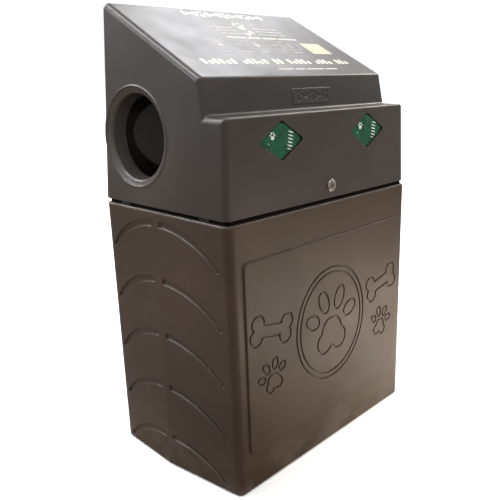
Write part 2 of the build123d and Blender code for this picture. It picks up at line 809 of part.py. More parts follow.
def hinge_parts():
    bin_inner = bin_back_y(BIN_RIVET_Z + STRIP_HALF_H) - WALL - 2 * FIT
    hood_inner = hood_back_y(HOOD_RIVET_Z + STRIP_HALF_H) - WALL - 2 * FIT
    bin_outer = HINGE_Y - KNUCKLE_R + LEAF_T + FIT
    hood_outer_y = hood_back_y(HOOD_RIVET_Z) + LEAF_T + LEAF_STANDOFF
    strip = LEAF_T + FIT
    bin_rivets = [rivet(x, BIN_RIVET_Z, bin_outer, bin_inner - strip) for x in rivet_places()]
    hood_rivets = [rivet(x, HOOD_RIVET_Z, hood_outer_y, hood_inner - strip) for x in rivet_places()]
    return {
        "bin_hinge_leaf": bin_hinge_leaf(),
        "hood_hinge_leaf": hood_hinge_leaf(),
        "hinge_pin": hinge_pin(),
        "bin_leaf_rivets": Compound(bin_rivets),
        "hood_leaf_rivets": Compound(hood_rivets),
        "bin_backing_strip": backing_strip(bin_inner, BIN_RIVET_Z),
        "hood_backing_strip": backing_strip(hood_inner, HOOD_RIVET_Z),
    }


# =====================================================================
# lock
# =====================================================================
def hexagon_nut(across_flats, thickness, bore_r):
    outline = RegularPolygon(across_flats / 2, 6, major_radius=False)
    return extrude(outline, thickness) - Pos(0, 0, -1) * extrude(Circle(bore_r), thickness + 2)


def facing_back(y):
    """Plane across the lock axis whose normal points to the back."""
    return Plane(origin=(LOCK_X, y, LOCK_Z), x_dir=(1, 0, 0), z_dir=(0, 1, 0))


LOCK_SEAT_Y = hood_front_y(LOCK_Z) - LOCK_LIP        # back of the flange
LOCK_FACE_Y = LOCK_SEAT_Y - LOCK_FLANGE_T
LOCK_END_Y = LOCK_SEAT_Y + LOCK_LENGTH
LOCK_WASHER_Y = hood_front_y(LOCK_Z) + WALL + CAM_CLEARANCE
COVER_Y = LOCK_FACE_Y - COVER_GAP - COVER_T
COVER_PIVOT_Z = LOCK_Z + COVER_PIVOT_UP
CAM_Y = LOCK_END_Y + CAM_CLEARANCE
CAM_SCREW_Y = CAM_Y + CAM_T + CAM_CLEARANCE


def lock_body():
    """Flange and barrel, bored through for the plug."""
    flange = extrude(facing_back(LOCK_FACE_Y) * Circle(LOCK_FLANGE_R), LOCK_FLANGE_T)
    flange = chamfer(flange.edges().sort_by(Axis.Y)[0], LOCK_FLANGE_BEVEL)
    body = flange + rod(LOCK_X, LOCK_SEAT_Y, LOCK_Z, LOCK_BARREL_R, LOCK_LENGTH)
    body -= rod(LOCK_X, LOCK_FACE_Y - 1, LOCK_Z, LOCK_PLUG_R + PIN_CLEARANCE, 2 * LOCK_LENGTH)
    return body - rod(LOCK_X, LOCK_FACE_Y - 1, COVER_PIVOT_Z, COVER_RIVET_R + FIT, LOCK_FLANGE_T + FIT)


def lock_plug():
    """Turning plug with a keyway in front and a square drive behind."""
    front = LOCK_FACE_Y + PLUG_SET_BACK
    plug = rod(LOCK_X, front, LOCK_Z, LOCK_PLUG_R, LOCK_END_Y - front)
    plug += extrude(facing_back(LOCK_END_Y) * Rectangle(CAM_DRIVE, CAM_DRIVE), CAM_Y + CAM_T - LOCK_END_Y)
    keyway = Pos(LOCK_X, LOCK_FACE_Y + KEYWAY_DEPTH / 2, LOCK_Z) * Box(
        2 * KEYWAY_HALF_W, KEYWAY_DEPTH, 2 * KEYWAY_HALF_H
    )
    screw_hole = rod(
        LOCK_X, LOCK_END_Y - CAM_SCREW_DEPTH - 1, LOCK_Z, CAM_SCREW_R + FIT, 3 * CAM_SCREW_DEPTH
    )
    return plug - keyway - screw_hole


def lock_cam():
    """Flat bar on the square drive. It hangs down when the lock is open."""
    bar = RectangleRounded(2 * CAM_HALF_W, CAM_LENGTH + 2 * CAM_TAIL, CAM_END_R)
    face = Pos(0, CAM_LENGTH / 2 - CAM_TAIL) * bar
    hole = CAM_DRIVE + 4 * FIT
    return extrude(facing_back(CAM_Y) * (face - Rectangle(hole, hole)), CAM_T)


def lock_cam_screw():
    start = LOCK_END_Y - CAM_SCREW_DEPTH
    screw = rod(LOCK_X, start, LOCK_Z, CAM_SCREW_R, CAM_SCREW_Y - start)
    return screw + dome_at(LOCK_X, CAM_SCREW_Y, LOCK_Z, CAM_SCREW_HEAD_R, CAM_SCREW_HEAD_H)


def lock_washer():
    washer = rod(LOCK_X, LOCK_WASHER_Y, LOCK_Z, LOCK_FLANGE_R - 1, LOCK_WASHER_T)
    return washer - rod(LOCK_X, LOCK_WASHER_Y - 1, LOCK_Z, LOCK_BARREL_R + FIT, LOCK_WASHER_T + 2)


def lock_nut():
    seat = facing_back(LOCK_WASHER_Y + LOCK_WASHER_T + STACK_GAP)
    return seat * hexagon_nut(LOCK_NUT_FLATS, LOCK_NUT_T, LOCK_BARREL_R + FIT)


def lock_dust_cover():
    """Swinging cover over the keyway, with an upright ridge."""
    cover = extrude(facing_back(COVER_Y) * cover_outline(), COVER_T)
    cover += block(
        LOCK_X - COVER_RIDGE_HALF_W, LOCK_X + COVER_RIDGE_HALF_W,
        COVER_Y - COVER_RIDGE_T, COVER_Y,
        LOCK_Z - COVER_RIDGE_DOWN, LOCK_Z + COVER_RIDGE_UP,
    )
    return cover - rod(LOCK_X, COVER_Y - 1, COVER_PIVOT_Z, COVER_RIVET_R + PIN_CLEARANCE, COVER_T + 2)


def dust_cover_rivet():
    head_y = COVER_Y - COVER_GAP
    pin = rod(LOCK_X, head_y, COVER_PIVOT_Z, COVER_RIVET_R, LOCK_SEAT_Y - 1 - head_y)
    return pin + dome_at(LOCK_X, head_y, COVER_PIVOT_Z, COVER_RIVET_HEAD_R, COVER_T, back=False)


def cover_outline():
    """Disc with a lug for the pivot above and a thumb tab to the lower left.

    The plane it is drawn on has its Y axis pointing down."""
    shape = Circle(COVER_R)
    lug = Pos(0, -COVER_PIVOT_UP / 2) * Rectangle(COVER_LUG_R * 2, COVER_PIVOT_UP)
    shape += [lug, Pos(0, -COVER_PIVOT_UP) * Circle(COVER_LUG_R)]
    tab = Pos(-COVER_TAB_REACH / 2, 0) * RectangleRounded(COVER_TAB_REACH, COVER_TAB_W, COVER_TAB_R)
    return shape + Rot(0, 0, -COVER_TAB_ANGLE) * tab


def keeper_face_y():
    """Inside face of the collar, where the keeper sits."""
    return -(BIN_BACK_TOP - COLLAR_INSET - WALL) + FIT


def keeper_screw_places():
    """X of the two screws of the keeper."""
    middle = LOCK_X - KEEPER_OFFSET - KEEPER_W / 2
    return [middle - KEEPER_SCREW_SPREAD, middle + KEEPER_SCREW_SPREAD]


def keeper_screw_holes():
    z = BIN_H + COLLAR_H / 2
    y = keeper_face_y() - WALL
    return [rod(x, y, z, KEEPER_SCREW_R + FIT, 2 * WALL) for x in keeper_screw_places()]


def keeper():
    """Hook plate on the inside of the collar. The cam turns in under its hook."""
    x1 = LOCK_X - KEEPER_OFFSET
    x0 = x1 - KEEPER_W
    face_y = keeper_face_y()
    inner_y = face_y + KEEPER_T
    under = LOCK_Z + CAM_HALF_W + KEEPER_GAP
    upright = block(x0, x1, face_y, inner_y, BIN_H - RIM_R, under + KEEPER_T)
    hook = block(x0, x1, face_y, face_y + KEEPER_REACH, under, under + KEEPER_T)
    plate = upright + hook
    corner = plate.edges().filter_by(
        lambda e: abs(e.center().Z - under) < FIT and abs(e.center().Y - inner_y) < FIT
    )
    return fillet(corner, KEEPER_T / 2) - keeper_screw_holes()


def keeper_screws():
    z = BIN_H + COLLAR_H / 2
    tip_y = keeper_face_y() - KEEPER_SCREW_DEPTH
    head_y = keeper_face_y() + KEEPER_T + FIT
    screws = []
    for x in keeper_screw_places():
        head = dome_at(x, head_y, z, 2 * KEEPER_SCREW_R, KEEPER_SCREW_R)
        screws.append(rod(x, tip_y, z, KEEPER_SCREW_R, head_y - tip_y) + head)
    return Compound(screws)


# =====================================================================
# bag dispenser
# =====================================================================
def across(y):
    """Plane across the hood at one depth, x to the right and y up."""
    return Plane(origin=(0, y, 0), x_dir=(1, 0, 0), z_dir=(0, -1, 0))


def slab(x0, x1, z0, z1, y_front, thickness, corner=2.0):
    """Upright plate with rounded corners, its front face at y_front."""
    face = Pos((x0 + x1) / 2, (z0 + z1) / 2) * RectangleRounded(x1 - x0, z1 - z0, corner)
    return extrude(across(y_front) * face, -thickness)


def stud_holes():
    return [rod(x, HOOD_FRONT_Y, STUD_Z, STUD_HOLE_R, NUT_Y - HOOD_FRONT_Y + WALL) for x in stud_places()]


def bag_pack(side):
    """Block of folded bags; its front swells into the window."""
    x = side * WINDOW_X
    pack = slab(x - PACK_HALF_W, x + PACK_HALF_W, PACK_Z_LOW, PACK_Z_TOP, PACK_Y, PACK_T, PACK_R)
    swell = extrude(across(PACK_Y - PACK_SWELL) * Pos(x, WINDOW_Z) * diamond(SWELL_SHARE), -PACK_SWELL - 1)
    return pack + swell - stud_holes()


def header_card(side):
    x = side * WINDOW_X
    card_y = PACK_Y + PACK_T + 2 * STACK_GAP
    card = slab(x - PACK_HALF_W, x + PACK_HALF_W, STUD_Z - CARD_DROP, PACK_Z_TOP, card_y, CARD_T)
    return card - stud_holes()


CLAMP_Y = PACK_Y + PACK_T + CARD_T + 4 * STACK_GAP
SPACER_Y = CLAMP_Y + CLAMP_T + STACK_GAP
NUT_Y = TRAY_Y + GUARD_T + STACK_GAP


def wing_nut(x):
    """Wing nut on a stud: a round hub with two ears."""
    hub = rod(x, NUT_Y, STUD_Z, WING_HUB_R, WING_HUB_T)
    plane = Plane(origin=(x, NUT_Y + WING_T, STUD_Z), x_dir=(-1, 0, 0), z_dir=(0, 1, 0))
    for side in (-1, 1):
        ear = RectangleRounded(WING_L, WING_H, WING_R)
        hub += extrude(plane * Pos(side * WING_OUT, WING_UP) * Rot(0, 0, side * WING_TILT) * ear, WING_T)
    return hub - rod(x, NUT_Y - 1, STUD_Z, STUD_R + FIT, 2 * WING_HUB_T)


def clamp_bar(side):
    x = side * WINDOW_X
    half = PACK_HALF_W - CLAMP_SHORTER
    low = STUD_Z - CLAMP_HALF_H
    high = STUD_Z + CLAMP_HALF_H
    return slab(x - half, x + half, low, high, CLAMP_Y, CLAMP_T, CLAMP_HALF_H / 2) - stud_holes()


def stud_insert(x):
    """Insert moulded into the hood's wall, with a blind hole for its stud."""
    insert = rod(x, INSERT_Y, STUD_Z, INSERT_R, WALL - 1)
    return insert - rod(x, INSERT_Y + 1, STUD_Z, STUD_R + FIT, WALL)


def stud(x):
    start = INSERT_Y + STUD_DEPTH
    return rod(x, start, STUD_Z, STUD_R, NUT_Y + STUD_END - start)


def stud_spacer(x):
    length = TRAY_Y - STACK_GAP - SPACER_Y
    tube = rod(x, SPACER_Y, STUD_Z, SPACER_R, length)
    return tube - rod(x, SPACER_Y - 1, STUD_Z, STUD_R + PIN_CLEARANCE, length + 2)


def bag_tray():
    """Sheet that parts the bags from the waste, with a shelf under the packs."""
    back = slab(-GUARD_HALF_W, GUARD_HALF_W, TRAY_Z, TRAY_TOP_Z, TRAY_Y, GUARD_T, 1)
    shelf = block(-GUARD_HALF_W, GUARD_HALF_W, PACK_Y, TRAY_Y + GUARD_T, TRAY_Z - GUARD_T, TRAY_Z)
    lip = block(-GUARD_HALF_W, GUARD_HALF_W, TRAY_Y, TRAY_Y + GUARD_T, TRAY_Z - GUARD_T, TRAY_Z + 4)
    return back + shelf + lip - stud_holes()


def at_studs(make):
    """One group of solids, one at each stud."""
    return Compound([make(x) for x in stud_places()])


# =====================================================================
# liner and rim
# =====================================================================
def liner_hoop():
    half_x = BIN_HALF_W_TOP - HOOP_INSET
    half_y = BIN_BACK_TOP - HOOP_INSET
    path = Pos(0, 0, HOOP_Z) * RectangleRounded(2 * half_x, 2 * half_y, HOOP_CORNER_R)
    wire = path.wires()[0]
    section = Plane(origin=wire @ 0, z_dir=wire % 0) * Circle(HOOP_R)
    return sweep(section, path=wire)


def hoop_clip(x, y, angle):
    """Spring strip over the collar with a shelf that carries the hoop."""
    half = CLIP_W / 2
    inner = COLLAR_INSET + WALL + FIT
    outer = COLLAR_INSET - FIT
    top = BIN_H + COLLAR_H + STACK_GAP
    shelf_z = HOOP_Z - HOOP_R - CLIP_T - STACK_GAP
    strip = block(-half, half, inner, inner + CLIP_T, shelf_z, top + CLIP_T)
    over = block(-half, half, outer - CLIP_T, inner + CLIP_T, top, top + CLIP_T)
    outside = block(-half, half, outer - CLIP_T, outer, top - CLIP_DROP, top + CLIP_T)
    shelf = block(-half, half, inner, inner + CLIP_SHELF, shelf_z, shelf_z + CLIP_T)
    return Pos(x, y, 0) * Rot(0, 0, angle) * (strip + over + outside + shelf)


def hoop_clips():
    clips = []
    for side, angle in ((-1, -90), (1, 90)):
        for y in (-CLIP_SPREAD, CLIP_SPREAD):
            clips.append(hoop_clip(side * BIN_HALF_W_TOP, y, angle))
    return Compound(clips)


def liner_section(z, gap, corner_r):
    """Plan of the liner bag, held in from the hoop by a gap."""
    half_x = BIN_HALF_W_TOP - HOOP_INSET - HOOP_R - gap
    half_y = BIN_BACK_TOP - HOOP_INSET - HOOP_R - gap
    return Pos(0, 0, z) * RectangleRounded(2 * half_x, 2 * half_y, corner_r)


def liner_bag():
    """Open-topped bag that hangs inside the hoop and narrows towards the floor."""
    low_z = BIN_FLOOR + LINER_GAP
    low_gap = LINER_GAP + LINER_TAPER
    outer = loft([
        liner_section(low_z, low_gap, LINER_LOW_R),
        liner_section(HOOP_Z, LINER_GAP, LINER_TOP_R),
    ], ruled=True)
    inner = loft([
        liner_section(low_z + LINER_T, low_gap + LINER_T, LINER_LOW_R - LINER_T),
        liner_section(HOOP_Z + 1, LINER_GAP + LINER_T, LINER_TOP_R - LINER_T),
    ], ruled=True)
    return outer - inner


def rim_bumpers():
    """Rubber blocks on the rim, under the inner part of the hood's wall."""
    blocks = []
    x = BIN_HALF_W_TOP - STEP_INSET + BUMPER_GAP + BUMPER_W / 2
    for side in (-1, 1):
        for y in (-BUMPER_SPREAD, BUMPER_SPREAD):
            base = Pos(side * x, y, BIN_H) * RectangleRounded(BUMPER_W, BUMPER_L, BUMPER_R)
            blocks.append(extrude(base, SEAM_GAP - BUMPER_GAP))
    return Compound(blocks)


# =====================================================================
# assembly
# =====================================================================
def lock_parts():
    return {
        "lock_body": lock_body(),
        "lock_plug": lock_plug(),
        "lock_cam": lock_cam(),
        "lock_cam_screw": lock_cam_screw(),
        "lock_washer": lock_washer(),
        "lock_nut": lock_nut(),
        "lock_dust_cover": lock_dust_cover(),
        "dust_cover_rivet": dust_cover_rivet(),
        "keeper": keeper(),
        "keeper_screws": keeper_screws(),
    }


def dispenser_parts():
    return {
        "bag_pack_left": bag_pack(-1),
        "bag_pack_right": bag_pack(1),
        "header_card_left": header_card(-1),
        "header_card_right": header_card(1),
        "clamp_bars": Compound([clamp_bar(-1), clamp_bar(1)]),
        "stud_inserts": at_studs(stud_insert),
        "dispenser_studs": at_studs(stud),
        "stud_spacers": at_studs(stud_spacer),
        "wing_nuts": at_studs(wing_nut),
        "bag_tray": bag_tray(),
    }


def bin_parts():
    return {
        "bin_shell": bin_shell(),
        "hood_shell": hood_shell(),
        "liner_hoop": liner_hoop(),
        "hoop_clips": hoop_clips(),
        "liner_bag": liner_bag(),
        "rim_bumpers": rim_bumpers(),
    }


def all_parts():
    return bin_parts() | hinge_parts() | lock_parts() | dispenser_parts()


os.makedirs("parts", exist_ok=True)
for name, shape in all_parts().items():
    export_step(shape, f"parts/{name}.step")
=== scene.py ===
import json
import math

import bmesh
import bpy
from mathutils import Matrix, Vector, noise
from mathutils.bvhtree import BVHTree


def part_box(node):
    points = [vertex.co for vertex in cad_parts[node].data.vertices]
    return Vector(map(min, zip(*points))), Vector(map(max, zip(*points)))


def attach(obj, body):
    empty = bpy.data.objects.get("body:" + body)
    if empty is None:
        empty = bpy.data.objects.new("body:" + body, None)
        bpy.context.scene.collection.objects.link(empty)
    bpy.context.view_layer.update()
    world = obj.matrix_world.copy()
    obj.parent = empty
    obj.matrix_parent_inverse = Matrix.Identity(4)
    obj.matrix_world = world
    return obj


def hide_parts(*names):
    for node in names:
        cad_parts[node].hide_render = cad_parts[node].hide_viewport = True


# Looks of the dog waste bin. Metres, +Z up, the front faces -Y.

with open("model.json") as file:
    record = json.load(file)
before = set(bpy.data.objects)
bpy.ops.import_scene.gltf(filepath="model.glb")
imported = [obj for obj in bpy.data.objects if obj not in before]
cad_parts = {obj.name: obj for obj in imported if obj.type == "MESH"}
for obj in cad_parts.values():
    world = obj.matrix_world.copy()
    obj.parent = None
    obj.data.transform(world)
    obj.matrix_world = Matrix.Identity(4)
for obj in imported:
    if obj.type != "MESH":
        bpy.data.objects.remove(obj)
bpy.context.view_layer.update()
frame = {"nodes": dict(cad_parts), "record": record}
nodes = frame["nodes"]
MM = 0.001

# ---- colours, linear ----
BIN_DARK = (0.028, 0.0165, 0.0095, 1)
BIN_LIGHT = (0.048, 0.030, 0.0185, 1)
HOOD_DARK = (0.0265, 0.0205, 0.0160, 1)
HOOD_LIGHT = (0.044, 0.035, 0.028, 1)
SCUFF = (0.15, 0.115, 0.09, 1)
DUST = (0.17, 0.145, 0.12, 1)
# painted shade: near black for the shadowed gap between the bin's rim and the hood
SEAM_PAINTED_SHADE = (0.0025, 0.0022, 0.002, 1)
BAG_GREEN = (0.008, 0.088, 0.042, 1)
BAG_DEEP = (0.003, 0.034, 0.017, 1)
INK = (0.56, 0.53, 0.46, 1)
CREAM = (0.48, 0.43, 0.29, 1)

# ---- heights of dust and of the painted shade in the seam, metres ----
BIN_DUST_TOP = 0.11
HOOD_DUST_TOP = 0.60                         # below the hood, so the hood has no dust
DUST_FADE = 0.10                             # the dust is full this far under its top
SEAM_SHADE_LOW = (0.6101, 0.6104)                  # the painted seam shade starts at the rim
SEAM_SHADE_TOP = (0.6172, 0.6169)                  # and ends between the step in the rim and the hood

# ---- print on the sloping face and on the bags ----
INK_LIFT = 0.02 * MM
INK_T = 0.10 * MM
BAG_INK_TIMES = 6                            # print on a bag stands this many times prouder
BOLD_WORDS = (6, 5, 2, 5, 4, 3)              # blocks in each group of the bold line

# ---- corners of a rounded rectangle: side across, side up, angle at which its arc starts ----
CORNERS = ((1, 1, 0), (-1, 1, 90), (-1, -1, 180), (1, -1, 270))

# ---- liner sheet, millimetres ----
LINER_TAPER = 7                              # how far the walls lean in at the floor
LINER_LOW_R = 28                             # corner radius at the floor
LINER_R_FALL = 6                             # how much smaller it is at the top of the wall
LINER_CUFF_R = 23                            # corner radius of the cuff over the hoop

# ---- camera and surroundings ----
CAMERA_PLACE = (-1.1363, -1.0917, 0.9082)
CAMERA_YAW = 50.57                           # degrees from +Y towards +X
CAMERA_PITCH = 17.26                         # degrees down
CAMERA_LENS = 46.37                          # millimetres
CAMERA_SENSOR = 36.0
CAMERA_SHIFT = (-0.130, 0.030)
WORLD_COLOUR = (0.94, 0.97, 1.0, 1)
WORLD_ON_OBJECTS = 0.62
WORLD_TO_CAMERA = 1.08


# =====================================================================
# materials
# =====================================================================
class Graph:
    """A material built from shader nodes, with short calls for the usual ones."""

    def __init__(self, name):
        self.material = bpy.data.materials.new(name)
        self.material.use_nodes = True
        self.tree = self.material.node_tree
        self.tree.nodes.clear()
        self.out = self.add("ShaderNodeOutputMaterial")
        self.place = self.add("ShaderNodeTexCoord").outputs["Object"]

    def add(self, kind, sockets=None, **settings):
        node = self.tree.nodes.new(kind)
        for key, value in settings.items():
            setattr(node, key, value)
        for key, value in (sockets or {}).items():
            if isinstance(value, bpy.types.NodeSocket):
                self.tree.links.new(value, node.inputs[key])
            else:
                node.inputs[key].default_value = value
        return node

    def noise(self, scale, detail=4.0, stretch=None, warp=0.0):
        place = self.place
        if stretch:
            place = self.add("ShaderNodeMapping", {"Vector": place, "Scale": stretch}).outputs[0]
        sockets = {"Vector": place, "Scale": scale, "Detail": detail, "Distortion": warp}
        return self.add("ShaderNodeTexNoise", sockets).outputs["Fac"]

    def cells(self, scale, feature="DISTANCE_TO_EDGE"):
        sockets = {"Vector": self.place, "Scale": scale}
        return self.add("ShaderNodeTexVoronoi", sockets, feature=feature).outputs["Distance"]

    def fit(self, value, low, high, to_low=0.0, to_high=1.0):
        sockets = {"Value": value, "From Min": low, "From Max": high, "To Min": to_low, "To Max": to_high}
        return self.add("ShaderNodeMapRange", sockets).outputs["Result"]

    def times(self, a, b):
        return self.add("ShaderNodeMath", {0: a, 1: b}, operation="MULTIPLY").outputs[0]

    def mix(self, factor, a, b):
        node = self.add("ShaderNodeMix", {0: factor, 6: a, 7: b}, data_type="RGBA")
        return node.outputs[2]

    def bump(self, height, distance, normal=None, strength=1.0):
        sockets = {"Height": height, "Distance": distance, "Strength": strength}
        if normal:
            sockets["Normal"] = normal
        return self.add("ShaderNodeBump", sockets).outputs["Normal"]

    def soft_edges(self, radius):
        """Rounded shading normal, and a mask that is 1 along outer and inner edges."""
        normal = self.add("ShaderNodeBevel", {"Radius": radius}, samples=4).outputs["Normal"]
        true = self.add("ShaderNodeNewGeometry").outputs["Normal"]
        sockets = {0: normal, 1: true}
        near = self.add("ShaderNodeVectorMath", sockets, operation="DOT_PRODUCT").outputs["Value"]
        return normal, self.fit(near, 1.0, 0.86)

    def height(self):
        return self.add("ShaderNodeSeparateXYZ", {0: self.place}).outputs["Z"]

    def surface(self, **sockets):
        named = {key.replace("_", " "): value for key, value in sockets.items()}
        shader = self.add("ShaderNodeBsdfPrincipled", named)
        self.tree.links.new(shader.outputs["BSDF"], self.out.inputs["Surface"])
        return self.material


def moulded(name, dark, light, dirt_top):
    """Satin rotomoulded plastic with scuffed edges, dust up to dirt_top, and painted shade with dulled
    reflection in the seam under the hood.
    """
    g = Graph(name)
    normal, edge = g.soft_edges(2.2 * MM)
    drift = g.fit(g.noise(3.1, 3, warp=0.4), 0.34, 0.68)
    colour = g.mix(drift, dark, light)
    fleck = g.fit(g.noise(260, 2), 0.62, 0.78, 0, 0.16)
    colour = g.mix(fleck, colour, SCUFF)
    worn = g.times(edge, g.fit(g.noise(46, 5), 0.38, 0.7, 0.02, 0.34))
    colour = g.mix(worn, colour, SCUFF)
    scratch = g.fit(g.noise(20, 2, stretch=(0.5, 0.5, 9.0), warp=0.7), 0.735, 0.80, 0, 0.16)
    colour = g.mix(scratch, colour, SCUFF)
    low_down = g.fit(g.height(), dirt_top, dirt_top - DUST_FADE)
    dust = g.times(low_down, g.fit(g.noise(17, 6), 0.42, 0.72, 0, 0.30))
    colour = g.mix(dust, colour, DUST)
    # painted shade: the band between the rim and the hood is painted near black and its reflection turned
    # down, in place of the shadow in the gap
    seam_shade = g.times(g.fit(g.height(), *SEAM_SHADE_LOW), g.fit(g.height(), *SEAM_SHADE_TOP))
    colour = g.mix(seam_shade, colour, SEAM_PAINTED_SHADE)
    gloss = g.fit(seam_shade, 0.0, 1.0, 0.42, 0.04)
    rough = g.fit(g.noise(11, 5), 0.3, 0.7, 0.33, 0.45)
    skin = g.bump(g.noise(620, 2), 0.16 * MM, normal)
    wavy = g.bump(g.noise(5.5, 2), 2.6 * MM, skin, 0.55)
    return g.surface(Base_Color=colour, Roughness=rough, Normal=wavy, IOR=1.5, Specular_IOR_Level=gloss)


def metal(name, colour, rough, stretch=(1, 1, 1), spots=0.0):
    """Metal with fine drawn lines along one direction and a little tarnish."""
    g = Graph(name)
    normal, edge = g.soft_edges(0.35 * MM)
    lines = g.noise(380, 3, stretch=stretch)
    stain = g.fit(g.noise(55, 5), 0.45, 0.75, 0, 0.35 + spots)
    tint = g.mix(stain, colour, tuple(c * 0.55 for c in colour[:3]) + (1,))
    tint = g.mix(g.times(edge, 0.25), tint, (0.9, 0.9, 0.9, 1))
    roughness = g.fit(lines, 0.3, 0.7, rough * 0.75, rough * 1.35)
    drawn = g.bump(lines, 0.03 * MM, normal)
    return g.surface(Base_Color=tint, Metallic=1.0, Roughness=roughness, Normal=drawn)


def film(name, deep, bright, fold_scale, rough):
    """Thin creased plastic film."""
    g = Graph(name)
    crease = g.fit(g.cells(fold_scale), 0.0, 0.16)
    crumple = g.noise(fold_scale * 1.7, 5, warp=1.2)
    colour = g.mix(g.fit(crumple, 0.3, 0.72), deep, bright)
    folded = g.bump(crease, 0.5 * MM, strength=0.5)
    soft = g.bump(crumple, 1.6 * MM, folded, 0.8)
    roughness = g.fit(g.noise(90, 3), 0.3, 0.7, rough * 0.8, rough * 1.25)
    return g.surface(Base_Color=colour, Roughness=roughness, Normal=soft, Specular_IOR_Level=0.3)


def rubbery(name, colour, rough):
    """Rubber, soft coating or black plastic sheet with a fine grain."""
    g = Graph(name)
    grain = g.noise(900, 2)
    tone = g.mix(g.fit(g.noise(60, 4), 0.3, 0.7), colour, tuple(c * 1.8 for c in colour[:3]) + (1,))
    return g.surface(Base_Color=tone, Roughness=g.fit(grain, 0.3, 0.7, rough - 0.08, rough + 0.08),
                     Normal=g.bump(grain, 0.08 * MM), Specular_IOR_Level=0.3)


def board(name):
    """Uncoated cardboard with flutes and fibres."""
    g = Graph(name)
    fibre = g.noise(700, 5, stretch=(1, 1, 0.2))
    colour = g.mix(g.fit(fibre, 0.3, 0.7), (0.30, 0.215, 0.13, 1), (0.46, 0.35, 0.23, 1))
    return g.surface(Base_Color=colour, Roughness=0.9, Normal=g.bump(fibre, 0.05 * MM))


def printed(name, colour, wear):
    """Printed ink or vinyl, slightly faded and broken up."""
    g = Graph(name)
    patch = g.fit(g.noise(130, 5), 0.42, 0.66, 0, wear)
    tone = g.mix(patch, colour, (0.20, 0.18, 0.165, 1))
    return g.surface(Base_Color=tone, Roughness=g.fit(g.noise(300, 2), 0.3, 0.7, 0.5, 0.65),
                     Normal=g.bump(g.noise(600, 2), 0.05 * MM))


def floor_material():
    """Pale and matt, fading to white far off. On the left and far off it throws less light than it shows."""
    g = Graph("floor_pale")
    tone = g.mix(g.fit(g.noise(1.3, 3), 0.3, 0.7), (0.90, 0.90, 0.89, 1), (0.93, 0.93, 0.92, 1))
    seen = g.add("ShaderNodeLightPath").outputs["Is Camera Ray"]
    across = g.add("ShaderNodeSeparateXYZ", {0: g.place}).outputs["X"]
    far = g.add("ShaderNodeVectorMath", {0: g.place}, operation="LENGTH").outputs["Value"]
    right = g.mix(g.fit(far, 0.7, 1.9), (0.95, 0.88, 0.80, 1), (0.36, 0.32, 0.28, 1))
    thrown = g.mix(g.fit(across, -0.2, 0.5), (0.27, 0.225, 0.195, 1), right)
    tone = g.mix(seen, thrown, tone)
    glow = g.times(seen, g.fit(far, 0.8, 2.6, 0.0, 0.9))
    return g.surface(Base_Color=tone, Roughness=0.85, Normal=g.bump(g.noise(90, 3), 0.05 * MM),
                     Specular_IOR_Level=0.1, Emission_Color=(1, 1, 1, 1), Emission_Strength=glow)


steel = (0.56, 0.56, 0.55, 1)
FINISHES = {
    "bin_plastic": moulded("bin_moulded_brown", BIN_DARK, BIN_LIGHT, BIN_DUST_TOP),
    "hood_plastic": moulded("hood_moulded_brown", HOOD_DARK, HOOD_LIGHT, HOOD_DUST_TOP),
    "stainless": metal("stainless_drawn", steel, 0.30, (0.06, 1, 1)),
    "zinc_steel": metal("zinc_dull", (0.50, 0.51, 0.52, 1), 0.42, spots=0.2),
    "lock_chrome": metal("lock_polished", (0.66, 0.63, 0.58, 1), 0.24, spots=0.1),
    "hoop_coating": rubbery("hoop_black_coat", (0.012, 0.012, 0.012, 1), 0.42),
    "liner_film": film("liner_black_film", (0.006, 0.006, 0.007, 1), (0.016, 0.016, 0.018, 1), 19, 0.34),
    "bumper_rubber": rubbery("bumper_rubber", (0.010, 0.010, 0.010, 1), 0.72),
    "bag_film": film("bag_green_film", BAG_DEEP, BAG_GREEN, 42, 0.38),
    "header_board": board("header_board"),
    "tray_plastic": rubbery("tray_black_sheet", (0.009, 0.009, 0.009, 1), 0.50),
}
cover_material = metal("lock_cover_worn", (0.27, 0.255, 0.235, 1), 0.34, spots=0.25)
ink_material = printed("slope_ink", INK, 0.45)
bold_material = printed("slope_ink_bold", (0.62, 0.585, 0.50, 1), 0.15)
faint_material = printed("slope_ink_faint", (0.40, 0.38, 0.36, 1), 0.70)
label_material = printed("label_cream", CREAM, 0.08)
bag_ink_material = printed("bag_ink", (0.62, 0.68, 0.64, 1), 0.25)

for row in frame["record"]["subparts"]:
    mesh = nodes[row["node"]].data
    mesh.materials.clear()
    worn = row["node"] == "lock_dust_cover"
    mesh.materials.append(cover_material if worn else FINISHES[row["material_slot"]])


# =====================================================================
# mesh helpers
# =====================================================================
def make_object(name, mesh, material):
    mesh.materials.append(material)
    piece = bpy.data.objects.new(name, mesh)
    bpy.context.scene.collection.objects.link(piece)
    return piece


def apply_modifiers(piece):
    """Bakes the evaluated mesh, so that no modifier is left on the piece."""
    graph = bpy.context.evaluated_depsgraph_get()
    mesh = bpy.data.meshes.new_from_object(piece.evaluated_get(graph))
    piece.modifiers.clear()
    piece.data = mesh
    return piece


def smooth(piece):
    for face in piece.data.polygons:
        face.use_smooth = True
    return piece


